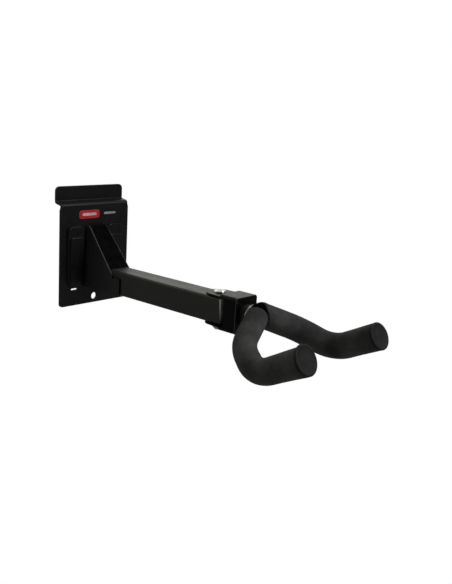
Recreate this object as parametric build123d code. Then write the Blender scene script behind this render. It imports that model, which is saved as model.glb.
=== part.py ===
from build123d import *
import os
from math import sqrt

# Wall guitar hanger for slatted panels, in millimetres.
# Origin: back face of the wall plate, on the axis of the arm. +Z is up, +X is to the right as
# the hanger is faced, and the arm reaches out from the wall along -Y.

# ---- wall plate ----
PLATE_WIDTH = 77.0
SHEET = 2.0
PLATE_BOTTOM = -27.1
PLATE_TOP = 65.0
PLATE_CORNER = 3.0
LIP_WIDTH = 75.2
LIP_SETBACK = 8.0
LIP_FOOT = 66.6
LIP_TOP = 79.6
LIP_CORNER = 4.2
BEND_OUTER = 2.6
BEND_INNER = 0.8
SCREW_HOLE_R = 3.2
SCREW_HOLE_Z = -21.2
SHOULDER_R = 1.0

# ---- stiffening panels pressed into the plate, and the slots under them ----
PANEL_X = 22.3
PANEL_WIDTH = 19.8
PANEL_BOTTOM = -9.5
PANEL_TOP = 45.6
PANEL_RISE = 2.2
PANEL_CORNER = 6.0
PANEL_DRAFT = 24.0
PANEL_WALL = 1.3
PANEL_EDGE = 0.7
CREST_WIDTH = 16.4
CREST_TOP = 36.0
CREST_BOTTOM = -6.5
CREST_RISE = 2.0
CREST_CORNER = 3.5
SLOT_X = 22.8
SLOT_Z = -12.2
SLOT_LENGTH = 7.6
SLOT_HEIGHT = 1.7

# ---- square arm tube ----
TUBE = 21.0
TUBE_WALL = 1.5
TUBE_CORNER = 1.8
ARM_END = 167.0

# ---- folded brace over the arm's root ----
BRACE_SHEET = 1.2
BRACE_TOP = 45.0
BRACE_CAP = 3.7
BRACE_FOOT = 36.7
EAR_REACH = 50.2
EAR_TOP = 4.6
RELIEF_START = 6.2
RELIEF_DEPTH = 2.6
RELIEF_WIDTH = 2.0
BRACE_TOP_WIDTH = 19.6
BRACE_BEND = 2.4
BRACE_FOLD = 1.0
RELIEF_R = 0.6
EAR_CORNER = 0.8

# ---- pivot at the end of the arm (vertical screw) ----
PIVOT_REACH = 156.0
SLEEVE_R = 4.0
SLEEVE_BORE_R = 2.55
SCREW_R = 2.5
FIT = 0.02
FRICTION_T = 0.4
FRICTION_R = 8.0
WASHER_R = 5.0
WASHER_T = 0.8
SCREW_HEAD_R = 4.75
SCREW_HEAD_H = 1.5
SCREW_HEAD_EDGE = 0.9
PIVOT_NUT_FLATS = 8.0
PIVOT_NUT_H = 3.8
SCREW_TAIL = 0.5
RECESS_LENGTH = 4.6
RECESS_WIDTH = 1.1
RECESS_DEPTH = 1.1
NUT_HEX_SHARE = 0.7
NUT_COLLAR_STEP = 0.6

# ---- clevis head ----
HEAD_WIDTH = 25.0
HEAD_SHEET = 3.3
HEAD_BACK = 167.0
HEAD_SIDE_BACK = 171.5
HEAD_FRONT = 183.8
HEAD_FOLD = 2.4
HEAD_EDGE = 0.7
TONGUE_T = 1.5
TONGUE_END_R = 10.5
TONGUE_ROOT_WIDTH = 23.0

# ---- swivel in the front of the head (arm axis) ----
STEM_R = 4.0
STEM_BORE_R = 4.05
BUSH_R = 5.5
BUSH_FLANGE_R = 8.0
BUSH_FLANGE_T = 5.8
COLLAR_R = 9.2
COLLAR_T = 1.4
STEM_WASHER_R = 8.0
STEM_WASHER_T = 1.2
STEM_NUT_FLATS = 13.0
STEM_NUT_H = 6.5
STEM_TAIL = 0.8
HUB_R = 8.8
HUB_LENGTH = 1.8

# ---- yoke: two rods bent from a welded V, in foam sleeves with end caps ----
ROD_R = 5.0
FOAM_R = 9.4
FOAM_BORE_R = 5.05
YOKE_ROOT = (0.0, -198.0, 3.0)
YOKE_ELBOW = (33.7, -210.3, -12.3)
YOKE_SADDLE = (46.9, -234.2, -24.1)
YOKE_TIP = (46.0, -274.8, -4.0)
ELBOW_R = 22.0
SADDLE_R = 25.0
FOAM_GAP = 0.3
CAP_R = 10.2
CAP_T = 4.0
CAP_SOCKET = 1.5
CAP_EDGE = 1.3

# ---- how far cutters and overlaps run past a face ----
OVERLAP = 1.0

# ---- worked out from the above ----
PLATE_FRONT = -SHEET
PIVOT_Y = -PIVOT_REACH
TONGUE_INNER = TUBE / 2 + FRICTION_T
TONGUE_OUTER = TONGUE_INNER + TONGUE_T
HEAD_HALF = TONGUE_INNER + HEAD_SHEET
HEAD_INNER = HEAD_FRONT - HEAD_SHEET
BUSH_FACE = HEAD_FRONT + BUSH_FLANGE_T
COLLAR_FACE = BUSH_FACE + COLLAR_T
HUB_FACE = COLLAR_FACE + HUB_LENGTH
STEM_NUT_FACE = HEAD_INNER - STEM_WASHER_T
STEM_BACK = STEM_NUT_FACE - STEM_NUT_H - STEM_TAIL


def side_panel(points, radii, width):
    """A plate cut to a (y, z) outline, with its thickness centred on X = 0."""
    outline = FilletPolyline(*points, radius=radii, close=True)
    return extrude(Plane.YZ * make_face(outline), width / 2, both=True)


def front_panel(points, radii, near, far):
    """A slab cut to an (x, z) outline, from Y = near back to Y = far."""
    outline = FilletPolyline(*points, radius=radii, close=True)
    face = Plane.XZ.offset(-far) * make_face(outline)
    return extrude(face, far - near)


def along_arm(reach):
    """A plane facing out along the arm, `reach` out from the wall."""
    return Plane(origin=(0, -reach, 0), x_dir=(1, 0, 0), z_dir=(0, -1, 0))


def disc(radius, start, length):
    """A round bar about the arm's axis, from `start` out from the wall."""
    return extrude(along_arm(start) * Circle(radius), length)


def ring(radius, bore, start, length):
    """A ring about the arm's axis."""
    return disc(radius, start, length) - disc(bore, start, length)


def upright(radius, bottom, height):
    """A round bar about the pivot's vertical axis."""
    plane = Plane(origin=(0, PIVOT_Y, bottom))
    return extrude(plane * Circle(radius), height)


def pressed_form(side, reach, width, bottom, top, corner, rise):
    """A block with sloped sides that stands `rise` out from a plane `reach` from the wall."""
    place = Pos(side * PANEL_X, (top + bottom) / 2)
    outline = along_arm(reach) * place * RectangleRounded(width, top - bottom, corner)
    return extrude(outline, rise, taper=PANEL_DRAFT)


def plate_panel(side):
    """The two-step raised panel on one side, and the hollow behind it."""
    step = SHEET + PANEL_RISE
    low = pressed_form(side, SHEET, PANEL_WIDTH, PANEL_BOTTOM, PANEL_TOP, PANEL_CORNER, PANEL_RISE)
    low = fillet(low.faces().sort_by(Axis.Y)[0].edges(), PANEL_EDGE)
    high = pressed_form(side, step, CREST_WIDTH, CREST_BOTTOM, CREST_TOP, CREST_CORNER, CREST_RISE)
    high = fillet(high.faces().sort_by(Axis.Y)[0].edges(), PANEL_EDGE)
    hollow = pressed_form(side, 0, PANEL_WIDTH - 2 * PANEL_WALL, PANEL_BOTTOM + PANEL_WALL,
                          PANEL_TOP - PANEL_WALL, PANEL_CORNER - PANEL_WALL, PANEL_RISE)
    deep = pressed_form(side, PANEL_RISE, CREST_WIDTH - 2 * PANEL_WALL, CREST_BOTTOM + PANEL_WALL,
                        CREST_TOP - PANEL_WALL, CREST_CORNER - PANEL_WALL, CREST_RISE)
    return low + high, hollow + deep


def make_back_plate():
    """Sheet plate with a lip stepped back at the top, which hooks behind a slat."""
    slope = (LIP_FOOT - PLATE_TOP) / LIP_SETBACK
    under = SHEET * sqrt(1 + slope * slope)
    heel = PLATE_TOP + slope * SHEET - under
    back_foot = heel + slope * LIP_SETBACK
    profile = [
        (0, PLATE_BOTTOM),
        (0, heel),
        (LIP_SETBACK, back_foot),
        (LIP_SETBACK, LIP_TOP),
        (LIP_SETBACK - SHEET, LIP_TOP),
        (LIP_SETBACK - SHEET, LIP_FOOT),
        (PLATE_FRONT, PLATE_TOP),
        (PLATE_FRONT, PLATE_BOTTOM),
    ]
    bends = [0, BEND_INNER, BEND_OUTER, 0, 0, BEND_INNER, BEND_OUTER, 0]
    sheet = side_panel(profile, bends, PLATE_WIDTH)
    half = PLATE_WIDTH / 2
    lip = LIP_WIDTH / 2
    shoulder = PLATE_TOP - BEND_OUTER
    outline = [
        (-half, PLATE_BOTTOM),
        (half, PLATE_BOTTOM),
        (half, shoulder - PLATE_CORNER),
        (lip, shoulder),
        (lip, LIP_TOP),
        (-lip, LIP_TOP),
        (-lip, shoulder),
        (-half, shoulder - PLATE_CORNER),
    ]
    corners = [PLATE_CORNER] * 2 + [SHOULDER_R] * 2 + [LIP_CORNER] * 2 + [SHOULDER_R] * 2
    plate = sheet & front_panel(outline, corners, -LIP_SETBACK, 2 * LIP_SETBACK)
    for side in (-1, 1):
        raised, hollow = plate_panel(side)
        place = along_arm(-OVERLAP) * Pos(side * SLOT_X, SLOT_Z)
        slot = place * SlotOverall(SLOT_LENGTH, SLOT_HEIGHT)
        plate = plate + raised - hollow - extrude(slot, 2 * SHEET)
    hole = along_arm(-OVERLAP) * Pos(0, SCREW_HOLE_Z) * Circle(SCREW_HOLE_R)
    return plate - extrude(hole, 2 * SHEET)


def make_arm_tube():
    """Square tube, drilled top and bottom for the pivot sleeve."""
    inner = TUBE - 2 * TUBE_WALL
    section = RectangleRounded(TUBE, TUBE, TUBE_CORNER)
    section = section - RectangleRounded(inner, inner, TUBE_CORNER - TUBE_WALL)
    tube = extrude(along_arm(SHEET) * section, ARM_END - SHEET)
    return tube - upright(SLEEVE_R + FIT, -TUBE, 2 * TUBE)


def leaning_sides(foot_width, top_width):
    """A slab across the arm with upright sides up to the tube's top, which lean in above it."""
    foot = foot_width / 2
    crown = top_width / 2
    outline = [
        (-foot, -TUBE),
        (foot, -TUBE),
        (foot, TUBE / 2),
        (crown, BRACE_TOP),
        (-crown, BRACE_TOP),
        (-foot, TUBE / 2),
    ]
    return front_panel(outline, [0] * len(outline), -2 * EAR_REACH, EAR_REACH)


def make_brace():
    """Folded channel: a sloped front over two webs that straddle the tube and lean in above it."""
    run = BRACE_FOOT - SHEET - BRACE_CAP
    drop = BRACE_TOP - TUBE / 2
    slant = sqrt(run * run + drop * drop)
    lean = run / drop
    crest = PLATE_FRONT - BRACE_CAP
    notch = -BRACE_FOOT - lean * (TUBE / 2 - RELIEF_START)
    outline = [
        (PLATE_FRONT, -TUBE / 2),
        (PLATE_FRONT, BRACE_TOP),
        (crest, BRACE_TOP),
        (notch, RELIEF_START),
        (notch, RELIEF_START - RELIEF_DEPTH),
        (notch - RELIEF_WIDTH, RELIEF_START - RELIEF_DEPTH),
        (notch - RELIEF_WIDTH, EAR_TOP),
        (-EAR_REACH, EAR_TOP),
        (-EAR_REACH, -TUBE / 2),
    ]
    radii = [0, 0, BRACE_BEND, 0, RELIEF_R, RELIEF_R, 0, EAR_CORNER, EAR_CORNER]
    foot_width = TUBE + 2 * BRACE_SHEET
    webs = side_panel(outline, radii, foot_width)
    webs &= leaning_sides(foot_width, BRACE_TOP_WIDTH)
    slope = webs.faces().filter_by(lambda f: f.normal_at().Z > 0.5 and f.normal_at().Y < -0.5)
    front = slope.sort_by(SortBy.AREA)[-1]
    folds = front.edges().filter_by(lambda e: abs(e.tangent_at(0).Z) > 0.5)
    webs = fillet(folds, BRACE_FOLD)
    under_cap = BRACE_TOP - BRACE_SHEET
    inner_crest = crest + BRACE_SHEET * drop / slant
    inner_crest_z = BRACE_TOP - BRACE_SHEET * run / slant
    hollow = [
        (PLATE_FRONT, -TUBE),
        (PLATE_FRONT, under_cap),
        (inner_crest - lean * (inner_crest_z - under_cap), under_cap),
        (inner_crest - lean * (inner_crest_z - TUBE / 2), TUBE / 2),
        (-2 * EAR_REACH, TUBE / 2),
        (-2 * EAR_REACH, -TUBE),
    ]
    room = side_panel(hollow, [0] * len(hollow), TUBE)
    inner_top = BRACE_TOP_WIDTH - 2 * BRACE_SHEET
    return webs - (room & leaning_sides(TUBE, inner_top))


def make_nut(flats, height, bore):
    """A locking nut that stands on Z = 0, with the round collar of its insert on top."""
    hexagon = RegularPolygon(flats / 2, 6, major_radius=False)
    nut = extrude(hexagon, height * NUT_HEX_SHARE)
    collar = extrude(Circle(flats / 2 - NUT_COLLAR_STEP), height)
    collar = fillet(collar.edges().sort_by(Axis.Z)[-1], NUT_COLLAR_STEP)
    return nut + collar - extrude(Circle(bore), height)


def make_pivot_screw():
    """Pan head screw with a cross recess, down through head, tube and nut."""
    tail = TONGUE_OUTER + WASHER_T + PIVOT_NUT_H + SCREW_TAIL
    shank = upright(SCREW_R, -tail, TONGUE_OUTER + tail)
    pan = upright(SCREW_HEAD_R, TONGUE_OUTER, SCREW_HEAD_H)
    pan = fillet(pan.edges().sort_by(Axis.Z)[-1], SCREW_HEAD_EDGE)
    top = TONGUE_OUTER + SCREW_HEAD_H
    recess = Box(RECESS_LENGTH, RECESS_WIDTH, 2 * RECESS_DEPTH)
    recess += Box(RECESS_WIDTH, RECESS_LENGTH, 2 * RECESS_DEPTH)
    return shank + pan - Pos(0, PIVOT_Y, top) * recess


def pivot_ring(radius, bottom, height):
    """A washer on the pivot screw."""
    return upright(radius, bottom, height) - upright(SCREW_R + FIT, bottom, height)


def tongue_outline():
    """The plan of a tongue: round about the pivot, and wider where it joins the box."""
    root = TONGUE_ROOT_WIDTH / 2
    flank = [
        (-root, -HEAD_BACK - OVERLAP),
        (root, -HEAD_BACK - OVERLAP),
        (root, -HEAD_BACK),
        (TONGUE_END_R, PIVOT_Y),
        (-TONGUE_END_R, PIVOT_Y),
        (-root, -HEAD_BACK),
    ]
    return make_face(Polyline(*flank, close=True)) + Pos(0, PIVOT_Y) * Circle(TONGUE_END_R)


def make_head_clevis():
    """Folded box with two thinner round-ended tongues that lap over and under the tube."""
    outline = RectangleRounded(HEAD_WIDTH, 2 * HEAD_HALF, HEAD_FOLD)
    box = extrude(along_arm(HEAD_BACK) * outline, HEAD_FRONT - HEAD_BACK)
    box = fillet(box.faces().sort_by(Axis.Y)[0].edges(), HEAD_EDGE)
    tongues = extrude(tongue_outline(), TONGUE_OUTER, both=True)
    gap = 2 * TONGUE_INNER
    mouth_start = PIVOT_REACH - 2 * TONGUE_END_R
    mouth = extrude(along_arm(mouth_start) * Rectangle(2 * HEAD_WIDTH, gap),
                    HEAD_SIDE_BACK - mouth_start)
    room = extrude(along_arm(PIVOT_REACH) * Rectangle(HEAD_WIDTH - 2 * HEAD_SHEET, gap),
                   HEAD_INNER - PIVOT_REACH)
    clevis = box + tongues - mouth - room
    clevis -= upright(SCREW_R + FIT, -2 * HEAD_HALF, 4 * HEAD_HALF)
    return clevis - disc(BUSH_R + FIT, HEAD_INNER - OVERLAP, HEAD_SHEET + 2 * OVERLAP)


def make_swivel_bush():
    """Plain bush through the head's front, with a flange outside."""
    barrel = ring(BUSH_R, STEM_BORE_R, HEAD_INNER, HEAD_SHEET)
    return barrel + ring(BUSH_FLANGE_R, STEM_BORE_R, HEAD_FRONT, BUSH_FLANGE_T)


def make_swivel_stem():
    """Round stem from inside the head to the weld where the rods meet."""
    stem = disc(STEM_R, STEM_BACK, -YOKE_ROOT[1] - STEM_BACK)
    return chamfer(stem.edges().sort_by(Axis.Y)[-1], STEM_TAIL)


def arm_route(start, end):
    """The right-hand arm's centre line from a distance past its root to one short of its tip."""
    root, elbow, saddle, tip = [Vector(*p) for p in (YOKE_ROOT, YOKE_ELBOW, YOKE_SADDLE, YOKE_TIP)]
    first = root + (elbow - root).normalized() * start
    last = tip - (tip - saddle).normalized() * end
    return FilletPolyline(first, elbow, saddle, last, radius=[ELBOW_R, SADDLE_R])


def swept_bar(radius, start, end):
    """A round bar along the right-hand arm."""
    route = arm_route(start, end)
    section = Plane(origin=route @ 0, z_dir=route % 0) * Circle(radius)
    return sweep(section, path=route)


def right_half(gap):
    """A block that keeps what lies more than `gap` to the right of the middle."""
    reach = -YOKE_ROOT[1]
    return Pos(gap + reach / 2, -reach, 0) * Box(reach, 2 * reach, reach)


def make_rod():
    """Bent rod, mitred at the middle and cut back for the stem and its hub."""
    rod = swept_bar(ROD_R, -2 * ROD_R, CAP_T - CAP_SOCKET) & right_half(0)
    stem = disc(STEM_R, STEM_BACK, -YOKE_ROOT[1] - STEM_BACK)
    return rod - stem - disc(HUB_R, COLLAR_FACE, HUB_LENGTH)


def make_foam():
    """Foam sleeve on the rod, mitred at the middle and flat against the hub's face."""
    sleeve = swept_bar(FOAM_R, -FOAM_R, CAP_T) - swept_bar(FOAM_BORE_R, -FOAM_R, CAP_T)
    core = disc(2 * FOAM_R, HEAD_FRONT, HUB_FACE - HEAD_FRONT)
    core += disc(STEM_R + FIT, HUB_FACE, -YOKE_ROOT[1] - HUB_FACE)
    return (sleeve & right_half(FOAM_GAP)) - core


def make_tip_cap():
    """Round end cap with a shallow socket for the end of the rod."""
    route = arm_route(0, CAP_T)
    seat = Plane(origin=route @ 1, z_dir=route % 1)
    cap = extrude(Circle(CAP_R), CAP_T)
    cap = fillet(cap.edges().sort_by(Axis.Z)[-1], CAP_EDGE)
    return seat * (cap - extrude(Circle(ROD_R + FIT), CAP_SOCKET))


def root_parts():
    """The pieces fixed to the wall."""
    sleeve = upright(SLEEVE_R, -TUBE / 2, TUBE) - upright(SLEEVE_BORE_R, -TUBE / 2, TUBE)
    return {
        "back_plate": make_back_plate(),
        "brace": make_brace(),
        "arm_tube": make_arm_tube(),
        "pivot_sleeve": sleeve,
    }


def head_parts():
    """The pieces that swing with the head on the pivot screw."""
    nut = make_nut(PIVOT_NUT_FLATS, PIVOT_NUT_H, SCREW_R + FIT)
    under = -TONGUE_OUTER - WASHER_T
    return {
        "head_clevis": make_head_clevis(),
        "pivot_screw": make_pivot_screw(),
        "pivot_washer": pivot_ring(WASHER_R, under, WASHER_T),
        "pivot_locknut": Pos(0, PIVOT_Y, under) * Rot(180, 0, 0) * nut,
        "upper_friction_washer": pivot_ring(FRICTION_R, TUBE / 2, FRICTION_T),
        "lower_friction_washer": pivot_ring(FRICTION_R, -TONGUE_INNER, FRICTION_T),
        "swivel_bush": make_swivel_bush(),
    }


def yoke_parts():
    """The pieces that turn with the yoke in the head's front."""
    nut = make_nut(STEM_NUT_FLATS, STEM_NUT_H, STEM_R + FIT)
    parts = {
        "swivel_stem": make_swivel_stem(),
        "swivel_collar": ring(COLLAR_R, STEM_R + FIT, BUSH_FACE, COLLAR_T),
        "stem_washer": ring(STEM_WASHER_R, STEM_R + FIT, STEM_NUT_FACE, STEM_WASHER_T),
        "stem_locknut": Pos(0, -STEM_NUT_FACE, 0) * Rot(-90, 0, 0) * nut,
        "yoke_hub": ring(HUB_R, STEM_R, COLLAR_FACE, HUB_LENGTH),
    }
    for name, shape in (("rod", make_rod()), ("foam", make_foam()), ("tip_cap", make_tip_cap())):
        parts[f"{name}_right"] = shape
        parts[f"{name}_left"] = mirror(shape, about=Plane.YZ)
    return parts


def build():
    """Write each piece to its own file."""
    os.makedirs("parts", exist_ok=True)
    for group in (root_parts(), head_parts(), yoke_parts()):
        for name, shape in group.items():
            export_step(shape, f"parts/{name}.step")
            print(name, round(shape.volume, 1))


build()
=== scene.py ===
import math

import bmesh
import bpy
from mathutils import Matrix, Vector, noise


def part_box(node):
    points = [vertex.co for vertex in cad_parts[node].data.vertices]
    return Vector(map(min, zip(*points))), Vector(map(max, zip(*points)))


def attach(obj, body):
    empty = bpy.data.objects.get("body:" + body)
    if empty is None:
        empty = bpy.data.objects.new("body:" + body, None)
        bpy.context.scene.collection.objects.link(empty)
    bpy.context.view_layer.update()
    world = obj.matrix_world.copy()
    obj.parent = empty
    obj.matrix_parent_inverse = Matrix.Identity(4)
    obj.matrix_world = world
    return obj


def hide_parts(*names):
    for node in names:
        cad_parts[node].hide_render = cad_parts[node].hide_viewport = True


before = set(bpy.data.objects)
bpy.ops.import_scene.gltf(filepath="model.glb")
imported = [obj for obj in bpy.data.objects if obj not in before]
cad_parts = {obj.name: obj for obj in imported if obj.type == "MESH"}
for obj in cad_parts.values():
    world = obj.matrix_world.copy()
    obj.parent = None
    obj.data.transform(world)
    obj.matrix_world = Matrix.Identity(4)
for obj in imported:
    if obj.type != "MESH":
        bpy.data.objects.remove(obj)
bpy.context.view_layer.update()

MM = 0.001
UP = Vector((0, 0, 1))
RIGHT, LEFT = 1, -1
SIDE_NAMES = {RIGHT: "right", LEFT: "left"}


# ---------------------------------------------------------------- node helpers

FACE_ASIDE, FACE_ALONG = 0.1, 0.95
NOISE_LOW, NOISE_HIGH = 0.3, 0.7


class Finish:
    """One material, with short calls for the nodes that the finishes share."""

    def __init__(self, name, specular=0.5, metallic=0.0):
        self.material = bpy.data.materials.new(name)
        self.material.use_nodes = True
        self.tree = self.material.node_tree
        self.shader = self.tree.nodes["Principled BSDF"]
        self.shader.inputs["Specular IOR Level"].default_value = specular
        self.shader.inputs["Metallic"].default_value = metallic
        self.coordinates = self.tree.nodes.new("ShaderNodeTexCoord")
        self.place = self.coordinates.outputs["Object"]

    def link(self, output, socket):
        self.tree.links.new(output, socket)

    def grain(self, size, detail=2.0, stretch=(1, 1, 1)):
        """Noise with features about `size` metres across."""
        mapping = self.tree.nodes.new("ShaderNodeMapping")
        mapping.inputs["Scale"].default_value = stretch
        node = self.tree.nodes.new("ShaderNodeTexNoise")
        node.inputs["Scale"].default_value = 1.0 / size
        node.inputs["Detail"].default_value = detail
        self.link(self.place, mapping.inputs["Vector"])
        self.link(mapping.outputs["Vector"], node.inputs["Vector"])
        return node.outputs["Fac"]

    def cells(self, size):
        """Distance from the nearest of scattered points about `size` metres apart."""
        node = self.tree.nodes.new("ShaderNodeTexVoronoi")
        node.inputs["Scale"].default_value = 1.0 / size
        self.link(self.place, node.inputs["Vector"])
        return node.outputs["Distance"]

    def maths(self, operation, *values):
        """A sum on values, each a socket or a float."""
        node = self.tree.nodes.new("ShaderNodeMath")
        node.operation = operation
        for socket, value in zip(node.inputs, values):
            if isinstance(value, float):
                socket.default_value = value
            else:
                self.link(value, socket)
        return node.outputs["Value"]

    def ranged(self, value, start, end, low, high):
        """From `low` to `high` as the value goes from `start` to `end`."""
        node = self.tree.nodes.new("ShaderNodeMapRange")
        settings = {"From Min": start, "From Max": end, "To Min": low, "To Max": high}
        for name, number in settings.items():
            node.inputs[name].default_value = number
        self.link(value, node.inputs["Value"])
        return node.outputs["Result"]

    def patches(self, size, detail=2.0, start=0.35, end=0.65):
        """Noise that is 0 up to `start` and 1 from `end`."""
        return self.ranged(self.grain(size, detail), start, end, 0, 1)

    def part(self, vector, axis):
        """One of a vector's X, Y and Z."""
        node = self.tree.nodes.new("ShaderNodeSeparateXYZ")
        self.link(vector, node.inputs["Vector"])
        return node.outputs[axis]

    def along(self, axis):
        """The place on the object along X, Y or Z, in metres."""
        return self.part(self.place, axis)

    def apart(self, axis, place):
        """How far the place on the object is from `place` along an axis."""
        return self.maths("ABSOLUTE", self.maths("SUBTRACT", self.along(axis), place))

    def facing(self, axis):
        """0 on faces that look along other axes, 1 on those that look along `axis`."""
        normal = self.part(self.coordinates.outputs["Normal"], axis)
        return self.ranged(self.maths("ABSOLUTE", normal), FACE_ASIDE, FACE_ALONG, 0, 1)

    def colour(self, value, *colours):
        """Base colour through `colours`, evenly spaced, as the value goes from 0 to 1."""
        ramp = self.tree.nodes.new("ShaderNodeValToRGB")
        stops = ramp.color_ramp.elements
        while len(stops) < len(colours):
            stops.new(0.5)
        for i, colour in enumerate(colours):
            stops[i].position = i / (len(colours) - 1)
            stops[i].color = (*colour, 1)
        self.link(value, ramp.inputs["Fac"])
        self.link(ramp.outputs["Color"], self.shader.inputs["Base Color"])

    def rough(self, value, low, high):
        """Roughness from `low` to `high`, by noise."""
        self.link(self.ranged(value, NOISE_LOW, NOISE_HIGH, low, high),
                  self.shader.inputs["Roughness"])

    def relief(self, *layers, round_edge=0.0):
        """Bumps, each a (value, depth in metres), over edges that look rounded."""
        normal = None
        if round_edge:
            node = self.tree.nodes.new("ShaderNodeBevel")
            node.inputs["Radius"].default_value = round_edge
            normal = node.outputs["Normal"]
        for value, depth in layers:
            node = self.tree.nodes.new("ShaderNodeBump")
            node.inputs["Distance"].default_value = depth
            self.link(value, node.inputs["Height"])
            if normal:
                self.link(normal, node.inputs["Normal"])
            normal = node.outputs["Normal"]
        self.link(normal, self.shader.inputs["Normal"])


# ---------------------------------------------------------------- finishes

CLOUD_SIZE = 22 * MM
GLOSS_SIZE = 7 * MM
PAINT_EDGE = 0.35 * MM
ORANGE_PEEL = 1.1 * MM
PEEL_DEPTH = 0.02 * MM
HEAD_EDGE_HIGHLIGHT = 0.8 * MM

# Where the tube's sawn end turns from bare steel to paint, and the seam along its top.
BAND_MIDDLE = 0.9 * MM
BAND_SLANT = -0.12
BAND_SOFT = 0.25 * MM
SEAM_X = 1.5 * MM
SEAM_HALF = 0.5 * MM
SEAM_DEPTH = 0.12 * MM
TUBE_EDGE = 0.3 * MM
TUBE_GLOSS_SIZE = 9 * MM
DRAWN = (1, 0.3, 1)


def paint_surface(finish, glossy, dull):
    """What all painted folds share: cloudy gloss, fine orange peel and softened edges."""
    finish.rough(finish.grain(GLOSS_SIZE, 4), glossy, dull)
    finish.relief((finish.grain(ORANGE_PEEL), PEEL_DEPTH), round_edge=PAINT_EDGE)


def powder_coat(name, dark, light, roughness, specular):
    """Black powder coat with a faint cloudy tone."""
    finish = Finish(name, specular)
    finish.colour(finish.patches(CLOUD_SIZE, 3), dark, light)
    paint_surface(finish, roughness - 0.05, roughness + 0.05)
    return finish.material


def folded_coat():
    """The brace's coat: glossy black slope, a painted highlight along the folds, and webs painted
    greyer as if lit from the side.
    """
    finish = Finish("brace_coat", 0.06)
    slope = (0.0002, 0.0002, 0.0004)
    fold_painted_highlight = (0.12, 0.12, 0.12)
    web_painted_light = (0.032, 0.032, 0.033)
    # By facing: the slope darkest, the folds a painted highlight, the webs painted lighter as side
    # light.
    finish.colour(finish.facing("X"), slope, fold_painted_highlight, web_painted_light)
    paint_surface(finish, 0.24, 0.36)
    return finish.material


def head_coat():
    """The head's coat: glossy black, with a painted highlight in grey along the edges of its front.
    """
    finish = Finish("head_coat", 0.1)
    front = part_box("head_clevis")[0][1]
    # Painted highlight: a grey band round the edges of the front, where light would catch them.
    rim = finish.ranged(finish.along("Y"), front + HEAD_EDGE_HIGHLIGHT, front, 0, 1)
    black = (0.0008, 0.0008, 0.0012)
    grey = (0.09, 0.09, 0.09)
    finish.colour(rim, black, grey, black)
    paint_surface(finish, 0.25, 0.35)
    return finish.material


def tube_coat():
    """The tube's powder coat, with bare steel at its sawn end, in a band that widens toward the top.
    """
    finish = Finish("tube_coat", 0.38)
    paint = (0.011, 0.011, 0.011)
    steel = (0.36, 0.36, 0.35)
    slanted = finish.maths("MULTIPLY_ADD", finish.along("Z"), BAND_SLANT, finish.along("Y"))
    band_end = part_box("arm_tube")[0][1] + BAND_MIDDLE
    bare = finish.ranged(slanted, band_end - BAND_SOFT, band_end + BAND_SOFT, 1, 0)
    finish.colour(bare, paint, steel)
    finish.rough(finish.grain(TUBE_GLOSS_SIZE, 4, DRAWN), 0.37, 0.47)
    seam = finish.ranged(finish.apart("X", SEAM_X), 0, SEAM_HALF, 0, 1)
    finish.relief((seam, SEAM_DEPTH), (finish.grain(ORANGE_PEEL), PEEL_DEPTH),
                  round_edge=TUBE_EDGE)
    return finish.material


def plated_steel(name, dark, light, roughness):
    """Zinc plating with a faint turned grain and small stains."""
    finish = Finish(name, metallic=1.0)
    finish.colour(finish.patches(2.5 * MM, 4), dark, light)
    finish.rough(finish.grain(1.2 * MM, 3), roughness - 0.06, roughness + 0.1)
    finish.relief((finish.grain(0.25 * MM), 0.006 * MM), round_edge=0.2 * MM)
    return finish.material


def foam_skin():
    """Closed-cell foam: dull, finely pitted, paler where it has been rubbed."""
    finish = Finish("foam_skin", 0.12)
    dark = (0.026, 0.026, 0.026)
    rubbed = (0.060, 0.061, 0.060)
    finish.colour(finish.patches(16 * MM, 5, 0.36, 0.68), dark, rubbed)
    finish.rough(finish.grain(3 * MM), 0.78, 0.92)
    pits = finish.ranged(finish.cells(0.5 * MM), 0.0, 0.45, 0, 1)
    finish.relief((finish.grain(5 * MM, 3), 0.18 * MM), (pits, 0.05 * MM),
                  (finish.grain(0.22 * MM), 0.03 * MM))
    return finish.material


def moulded(name, dark, light, roughness, specular):
    """Moulded rubber or nylon with a fine eroded texture."""
    finish = Finish(name, specular)
    finish.colour(finish.patches(6 * MM, 4), dark, light)
    finish.rough(finish.grain(2 * MM, 3), roughness - 0.06, roughness + 0.06)
    finish.relief((finish.grain(0.3 * MM, 3), 0.03 * MM))
    return finish.material


def printed(name, colour, worn):
    """A thin printed film, a little uneven."""
    finish = Finish(name, 0.4)
    finish.colour(finish.patches(1.6 * MM, 4, 0.4, 0.7), colour, worn)
    finish.rough(finish.grain(1 * MM), 0.4, 0.52)
    finish.relief((finish.grain(0.4 * MM), 0.01 * MM))
    return finish.material


PLATE_COAT = powder_coat("plate_coat", (0.0014, 0.0014, 0.0015), (0.0038, 0.0037, 0.0038), 0.4, 0.23)
BRACE_COAT = folded_coat()
HEAD_COAT = head_coat()
# Dead black and dull: the knuckle's coat is also painted shade between the two sleeves.
KNUCKLE_SHADE_COAT = powder_coat("knuckle_painted_shade", (0.0005, 0.0005, 0.0005), (0.001, 0.001, 0.001), 0.8, 0.02)
ROD_COAT = powder_coat("rod_coat", (0.006, 0.006, 0.006), (0.012, 0.012, 0.012), 0.4, 0.5)
TUBE_COAT = tube_coat()
BRIGHT_ZINC = plated_steel("bright_zinc", (0.72, 0.73, 0.74), (0.88, 0.88, 0.88), 0.22)
DULL_ZINC = plated_steel("dull_zinc", (0.42, 0.43, 0.44), (0.6, 0.6, 0.6), 0.34)
COLLAR_ZINC = plated_steel("collar_zinc", (0.22, 0.22, 0.22), (0.36, 0.36, 0.35), 0.3)
NYLON = moulded("black_nylon_skin", (0.009, 0.009, 0.01), (0.016, 0.016, 0.017), 0.5, 0.4)
CAP_SKIN = moulded("cap_skin", (0.004, 0.004, 0.0042), (0.009, 0.009, 0.0094), 0.7, 0.2)
FOAM_SKIN = foam_skin()

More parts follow.
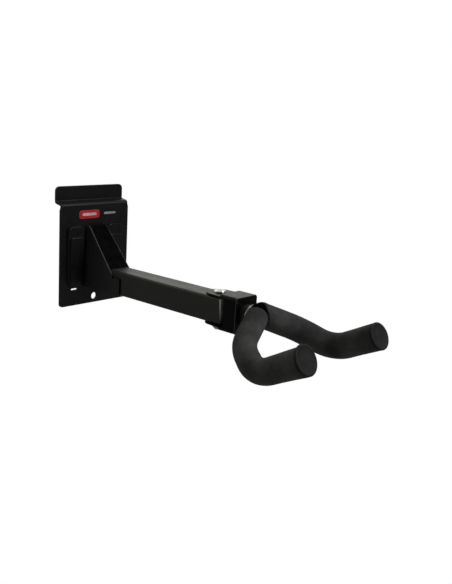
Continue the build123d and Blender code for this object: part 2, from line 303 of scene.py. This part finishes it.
NODE_FINISHES = {
    "back_plate": PLATE_COAT,
    "brace": BRACE_COAT,
    "arm_tube": TUBE_COAT,
    "pivot_sleeve": DULL_ZINC,
    "head_clevis": HEAD_COAT,
    "pivot_screw": BRIGHT_ZINC,
    "pivot_washer": DULL_ZINC,
    "pivot_locknut": DULL_ZINC,
    "upper_friction_washer": NYLON,
    "lower_friction_washer": NYLON,
    "swivel_bush": NYLON,
    "swivel_stem": DULL_ZINC,
    "swivel_collar": COLLAR_ZINC,
    "stem_washer": DULL_ZINC,
    "stem_locknut": DULL_ZINC,
    "yoke_hub": ROD_COAT,
    "rod_left": ROD_COAT,
    "rod_right": ROD_COAT,
}


def finish_cad_nodes():
    """Gives each carried-over CAD node its finish."""
    for name, material in NODE_FINISHES.items():
        for slot in bpy.data.objects[name].material_slots:
            slot.material = material


# ---------------------------------------------------------------- mesh helpers

RING_SIDES = 64
RING_ANGLES = [2 * math.pi * i / RING_SIDES for i in range(RING_SIDES)]
LEAST_ARC_STEPS = 4


def add_piece(name, mesh, material, body, smooth=True):
    """Wraps a bmesh in an object that rides on a body."""
    bmesh.ops.recalc_face_normals(mesh, faces=mesh.faces)
    data = bpy.data.meshes.new(name)
    mesh.to_mesh(data)
    mesh.free()
    if smooth:
        data.shade_smooth()
    data.materials.append(material)
    piece = bpy.data.objects.new(name, data)
    bpy.context.collection.objects.link(piece)
    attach(piece, body)
    return piece


def lofted(rings):
    """A closed form through rings of points, with a flat face on each end."""
    mesh = bmesh.new()
    rows = [[mesh.verts.new(point) for point in ring] for ring in rings]
    count = len(rows[0])
    for near, far in zip(rows, rows[1:]):
        for i in range(count):
            j = (i + 1) % count
            mesh.faces.new((near[i], near[j], far[j], far[i]))
    mesh.faces.new(reversed(rows[0]))
    mesh.faces.new(rows[-1])
    return mesh


def on_side(rings, side):
    """Rings that were laid out to the right, on the side they belong to."""
    return [[Vector((point.x * side, point.y, point.z)) for point in ring] for ring in rings]


def arc_corner(before, corner, after, radius, step):
    """Points round a corner on an arc of the given radius."""
    inward = (before - corner).normalized()
    outward = (after - corner).normalized()
    turn = math.pi - inward.angle(outward)
    reach = radius * math.tan(turn / 2)
    start = corner + inward * reach
    middle = corner + (inward + outward).normalized() * (radius / math.cos(turn / 2))
    axis = (-inward).cross(outward).normalized()
    count = max(LEAST_ARC_STEPS, round(radius * turn / step))
    return [middle + Matrix.Rotation(turn * i / count, 3, axis) @ (start - middle)
            for i in range(count + 1)]


def evenly(points, step):
    """The same line with points about `step` apart."""
    spaced = [points[0]]
    for start, end in zip(points, points[1:]):
        count = max(1, math.ceil((end - start).length / step))
        spaced += [start.lerp(end, i / count) for i in range(1, count + 1)]
    return spaced


def frames_along(points):
    """Each point with two crosswise directions, carried along without twist."""
    result = []
    across = None
    for i, point in enumerate(points):
        tangent = (points[min(i + 1, len(points) - 1)] - points[max(i - 1, 0)]).normalized()
        if across is None:
            across = tangent.cross(UP).normalized()
        across = (across - tangent * across.dot(tangent)).normalized()
        result.append((point, across, tangent.cross(across)))
    return result


# ---------------------------------------------------------------- yoke

# Centre lines in mm, both laid out to the right: root, elbow, saddle and tip.
ROUTES = {
    RIGHT: ((0, -198, 3.0), (34.1, -209.8, -11.5), (46.9, -234.2, -23.5), (45.9, -273.5, -3.9)),
    LEFT: ((2.8, -197.6, 2.7), (34.2, -210.0, -12.5), (47.1, -234.2, -24.1), (46.8, -274.9, -3.5)),
}
ELBOW_R = 34 * MM
SADDLE_R = 25 * MM
ROUTE_STEP = 1.6 * MM

CAP_T = 1.7 * MM
CAP_R = {RIGHT: 10.6 * MM, LEFT: 11.0 * MM}
CAP_LIFT = {RIGHT: 0.0, LEFT: 0.6 * MM}

# A sleeve starts this far along its centre line, and is cut flat where x would be less.
FOAM_START = {RIGHT: -2.0 * MM, LEFT: 0.1 * MM}
FOAM_LEAST_X = {RIGHT: -1.6 * MM, LEFT: 1.9 * MM}
COLLAR_GAP = 0.25 * MM
FOAM_ROOT_R = {RIGHT: 9.8 * MM, LEFT: 8.8 * MM}
FOAM_TIP_R = 10.4 * MM
FOAM_TAPER = 2.0
SWELL_SIZE = 14 * MM
SWELL_DEPTH = 0.18 * MM
ROOT_ROLL = 3 * MM
ROOT_PINCH = {RIGHT: 0.3 * MM, LEFT: 0.8 * MM}
TIP_ROLL = 0.9 * MM
TIP_PINCH = 0.4 * MM


def arm_route(side):
    """One arm's centre line from the middle of the yoke to the tip, laid out to the right."""
    root, elbow, saddle, tip = (Vector(point) * MM for point in ROUTES[side])
    line = [root]
    line += arc_corner(root, elbow, saddle, ELBOW_R, ROUTE_STEP)
    line += arc_corner(elbow, saddle, tip, SADDLE_R, ROUTE_STEP)
    return evenly(line + [tip], ROUTE_STEP)


def rolled(distance, run):
    """A share that rises from 0 to 1 over `run`, round like the end of a cut sleeve."""
    share = min(1.0, distance / run)
    return math.sqrt(1 - (1 - share) ** 2)


def collar_front():
    """How far back toward the head anything beside the collar may reach."""
    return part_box("swivel_collar")[0][1] - COLLAR_GAP


def foam_rings(line, side):
    """Rings of a sleeve, fuller to the tip, with rolled ends, laid out to the right."""
    total = sum((after - before).length for before, after in zip(line, line[1:]))
    root_radius = FOAM_ROOT_R[side]
    farthest_back = collar_front()
    rings = []
    done = 0.0
    last = line[0]
    for point, across, over in frames_along(line):
        done += (point - last).length
        last = point
        radius = root_radius + (FOAM_TIP_R - root_radius) * (done / total) ** FOAM_TAPER
        radius -= ROOT_PINCH[side] * (1 - rolled(done, ROOT_ROLL))
        radius -= TIP_PINCH * (1 - rolled(total - done, TIP_ROLL))
        ring = []
        for angle in RING_ANGLES:
            out = across * math.cos(angle) + over * math.sin(angle)
            swell = noise.noise((point + out * radius) / SWELL_SIZE) * SWELL_DEPTH
            spot = point + out * (radius + swell)
            spot.x = max(spot.x, FOAM_LEAST_X[side])
            spot.y = min(spot.y, farthest_back)
            ring.append(spot)
        rings.append(ring)
    return rings


def foam_sleeve(side):
    """The foam on one arm."""
    line = arm_route(side)
    root, tip = line[0], line[-1]
    start = root + (line[1] - root).normalized() * FOAM_START[side]
    end = tip + (line[-2] - tip).normalized() * CAP_T
    between = [point for point in line
               if (point - root).length > FOAM_START[side] + ROUTE_STEP / 2
               and (point - tip).length > CAP_T + ROUTE_STEP / 2]
    rings = on_side(foam_rings([start, *between, end], side), side)
    name = SIDE_NAMES[side]
    piece = add_piece(f"foam_sleeve_{name}", lofted(rings), FOAM_SKIN, "yoke")
    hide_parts(f"foam_{name}")


# The knuckle's sections: where each stands in x, and its share of the full size.
KNUCKLE_SECTIONS = (
    (-4.5 * MM, 0.70),
    (-3.5 * MM, 0.88),
    (-1.5 * MM, 0.98),
    (0.5 * MM, 1.0),
    (3.0 * MM, 1.0),
    (5.0 * MM, 0.95),
    (6.5 * MM, 0.80),
)
KNUCKLE_PLACE = Vector((0, -197.3, 3.0)) * MM
KNUCKLE_HALF = Vector((0, 8.3, 9.2)) * MM


def make_knuckle():
    """The black welded knuckle in the gap between the two sleeves, dead black and dull so that it
    also stands as painted shade in that gap.
    """
    farthest_back = collar_front()
    rings = []
    for x, share in KNUCKLE_SECTIONS:
        ring = []
        for angle in RING_ANGLES:
            spot = KNUCKLE_PLACE + Vector((x, KNUCKLE_HALF.y * share * math.cos(angle),
                                           KNUCKLE_HALF.z * share * math.sin(angle)))
            spot.y = min(spot.y, farthest_back)
            ring.append(spot)
        rings.append(ring)
    piece = add_piece("root_knuckle", lofted(rings), KNUCKLE_SHADE_COAT, "yoke")


# The cap's outline: shares of CAP_R outward and of CAP_T forward.
CAP_PROFILE = (
    (0.93, 0.0),
    (0.985, 0.05),
    (1.0, 0.2),
    (1.0, 0.5),
    (0.985, 0.75),
    (0.95, 0.92),
    (0.90, 1.0),
    (0.85, 0.97),
    (0.81, 0.82),
    (0.40, 0.86),
    (0.10, 0.88),
)


def tip_cap(side):
    """A moulded cap that laps over the foam, with a rounded rim round a slightly sunk face."""
    line = arm_route(side)
    tangent = (line[-1] - line[-2]).normalized()
    across = tangent.cross(UP).normalized()
    down = tangent.cross(across)
    seat = line[-1] - tangent * CAP_T - down * CAP_LIFT[side]
    rings = []
    for radius, depth in CAP_PROFILE:
        ring = []
        for angle in RING_ANGLES:
            out = across * math.cos(angle) + down * math.sin(angle)
            ring.append(seat + tangent * depth * CAP_T + out * radius * CAP_R[side])
        rings.append(ring)
    name = SIDE_NAMES[side]
    piece = add_piece(f"end_cap_{name}", lofted(on_side(rings, side)), CAP_SKIN, "yoke")
    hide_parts(f"tip_cap_{name}")


# ---------------------------------------------------------------- plate badge

PLATE_FRONT = -2 * MM
FILM_T = 0.12 * MM
BADGE_X = -7 * MM
BADGE_Z = 54.8 * MM
LINE_X = 16.5 * MM
CORNER_STEPS = 6
QUARTERS = ((1, 1), (-1, 1), (-1, -1), (1, -1))


def rounded_bar(name, material, x, width, height, corner, thickness):
    """A thin film on the plate's front with rounded corners, at the badge's height."""
    outline = []
    for quarter, (sign_x, sign_z) in enumerate(QUARTERS):
        for step in range(CORNER_STEPS + 1):
            angle = math.pi / 2 * (quarter + step / CORNER_STEPS)
            outline.append((x + sign_x * (width / 2 - corner) + corner * math.cos(angle),
                            BADGE_Z + sign_z * (height / 2 - corner) + corner * math.sin(angle)))
    rings = [[Vector((place_x, place_y, place_z)) for place_x, place_z in outline]
             for place_y in (PLATE_FRONT, PLATE_FRONT - thickness)]
    add_piece(name, lofted(rings), material, "root", smooth=False)


def make_badge():
    """A red bar with a pale stripe, and a thin grey bar beside it, with no lettering."""
    red = printed("badge_red", (0.50, 0.010, 0.022), (0.26, 0.006, 0.012))
    pale = printed("badge_pale", (0.62, 0.50, 0.50), (0.40, 0.24, 0.24))
    grey = printed("badge_grey", (0.30, 0.30, 0.31), (0.16, 0.16, 0.17))
    rounded_bar("badge_bar", red, x=BADGE_X, width=23 * MM, height=7.6 * MM, corner=2.6 * MM,
                thickness=FILM_T)
    rounded_bar("badge_stripe", pale, x=BADGE_X, width=16 * MM, height=2.4 * MM, corner=1.1 * MM,
                thickness=2 * FILM_T)
    rounded_bar("badge_line", grey, x=LINE_X, width=13.5 * MM, height=2.0 * MM, corner=0.9 * MM,
                thickness=FILM_T)


# ---------------------------------------------------------------- camera, light and floor

CAMERA_AZIMUTH = math.radians(-47.4)
CAMERA_ELEVATION = math.radians(12.27)
CAMERA_ROLL = math.radians(2.9)
CAMERA_TARGET = Vector((0.0391, -0.102, 0.0063))
CAMERA_DISTANCE = 0.670
CAMERA_LENS = 47.7
CAMERA_SENSOR = 36
CAMERA_SHIFT = (0.0388, -0.019)
CAMERA_NEAREST = 0.01


def make_camera():
    """The camera looks at the hanger from its left front, a little above."""
    flat = math.cos(CAMERA_ELEVATION)
    back = Vector((math.sin(CAMERA_AZIMUTH) * flat, -math.cos(CAMERA_AZIMUTH) * flat,
                   math.sin(CAMERA_ELEVATION)))
    right = (-back).cross(UP).normalized()
    up = back.cross(right)
    turned_right = right * math.cos(CAMERA_ROLL) + up * math.sin(CAMERA_ROLL)
    turned_up = up * math.cos(CAMERA_ROLL) - right * math.sin(CAMERA_ROLL)
    data = bpy.data.cameras.new("camera")
    data.lens = CAMERA_LENS
    data.sensor_width = CAMERA_SENSOR
    data.shift_x, data.shift_y = CAMERA_SHIFT
    data.clip_start = CAMERA_NEAREST
    camera = bpy.data.objects.new("camera", data)
    place = Matrix((turned_right, turned_up, back)).transposed().to_4x4()
    place.translation = CAMERA_TARGET + back * CAMERA_DISTANCE
    camera.matrix_world = place
    bpy.context.collection.objects.link(camera)
    bpy.context.scene.camera = camera


LIGHTS_AIM = (0, -0.14, 0)


def area_light(name, place, size, power):
    """A square soft light that faces the hanger's middle."""
    data = bpy.data.lights.new(name, "AREA")
    data.energy = power
    data.size = size
    light = bpy.data.objects.new(name, data)
    light.location = place
    aim = Vector(LIGHTS_AIM) - Vector(place)
    light.rotation_euler = aim.to_track_quat("-Z", "Y").to_euler()
    bpy.context.collection.objects.link(light)


# The room is bright toward BACKDROP_SIDE and dim away from it, between these two levels.
BACKDROP_SIDE = (0.25, 0.97, 0.0)
BACKDROP_FADE = (-0.1, 0.8)
ROOM_DIM = 0.06
ROOM_BRIGHT = 1.0
ROOM_TINT = (1.0, 1.0, 0.92, 1)
WHITE = (1, 1, 1, 1)


def make_room_light():
    """White to the camera. As light, bright behind the hanger and dim in front of it."""
    world = bpy.data.worlds.new("studio")
    world.use_nodes = True
    tree = world.node_tree
    background = tree.nodes["Background"]
    place = tree.nodes.new("ShaderNodeTexCoord")
    facing = tree.nodes.new("ShaderNodeVectorMath")
    facing.operation = "DOT_PRODUCT"
    facing.inputs[1].default_value = BACKDROP_SIDE
    level = tree.nodes.new("ShaderNodeMapRange")
    level.interpolation_type = "SMOOTHSTEP"
    level.inputs["From Min"].default_value, level.inputs["From Max"].default_value = BACKDROP_FADE
    level.inputs["To Min"].default_value = ROOM_DIM
    level.inputs["To Max"].default_value = ROOM_BRIGHT
    seen = tree.nodes.new("ShaderNodeLightPath")
    whiter = tree.nodes.new("ShaderNodeMath")
    whiter.operation = "MAXIMUM"
    tint = tree.nodes.new("ShaderNodeMix")
    tint.data_type = "RGBA"
    tint.inputs["A"].default_value = ROOM_TINT
    tint.inputs["B"].default_value = WHITE
    tree.links.new(place.outputs["Generated"], facing.inputs[0])
    tree.links.new(facing.outputs["Value"], level.inputs["Value"])
    tree.links.new(level.outputs["Result"], whiter.inputs[0])
    tree.links.new(seen.outputs["Is Camera Ray"], whiter.inputs[1])
    tree.links.new(whiter.outputs["Value"], background.inputs["Strength"])
    tree.links.new(seen.outputs["Is Camera Ray"], tint.inputs["Factor"])
    tree.links.new(tint.outputs["Result"], background.inputs["Color"])
    bpy.context.scene.world = world


FLOOR_Z = -0.30
FLOOR_SIZE = 12
FLOOR_TONE = (0.40, 0.40, 0.40, 1)
FLOOR_ROUGHNESS = 0.9
FLOOR_GLOW = 1.0


def make_floor():
    """A pale floor that reads white and throws little light back up."""
    bpy.ops.mesh.primitive_plane_add(size=FLOOR_SIZE, location=(0, 0, FLOOR_Z))
    floor = bpy.context.object
    floor.name = "floor"
    material = bpy.data.materials.new("pale_floor")
    material.use_nodes = True
    tree = material.node_tree
    shader = tree.nodes["Principled BSDF"]
    shader.inputs["Base Color"].default_value = FLOOR_TONE
    shader.inputs["Roughness"].default_value = FLOOR_ROUGHNESS
    glow = tree.nodes.new("ShaderNodeEmission")
    glow.inputs["Strength"].default_value = FLOOR_GLOW
    seen = tree.nodes.new("ShaderNodeLightPath")
    mix = tree.nodes.new("ShaderNodeMixShader")
    tree.links.new(seen.outputs["Is Camera Ray"], mix.inputs["Fac"])
    tree.links.new(shader.outputs["BSDF"], mix.inputs[1])
    tree.links.new(glow.outputs["Emission"], mix.inputs[2])
    tree.links.new(mix.outputs["Shader"], tree.nodes["Material Output"].inputs["Surface"])
    floor.data.materials.append(material)


def make_studio():
    """Plain soft light on a white ground."""
    bpy.context.scene.view_settings.view_transform = "Standard"
    make_room_light()
    make_floor()
    area_light("key", place=(0.42, -0.94, 0.74), size=0.6, power=10.5)
    area_light("side", place=(-0.55, -0.35, 0.85), size=0.5, power=0.6)


finish_cad_nodes()
for each_side in (RIGHT, LEFT):
    foam_sleeve(each_side)
    tip_cap(each_side)
make_knuckle()
make_badge()
make_camera()
make_studio()
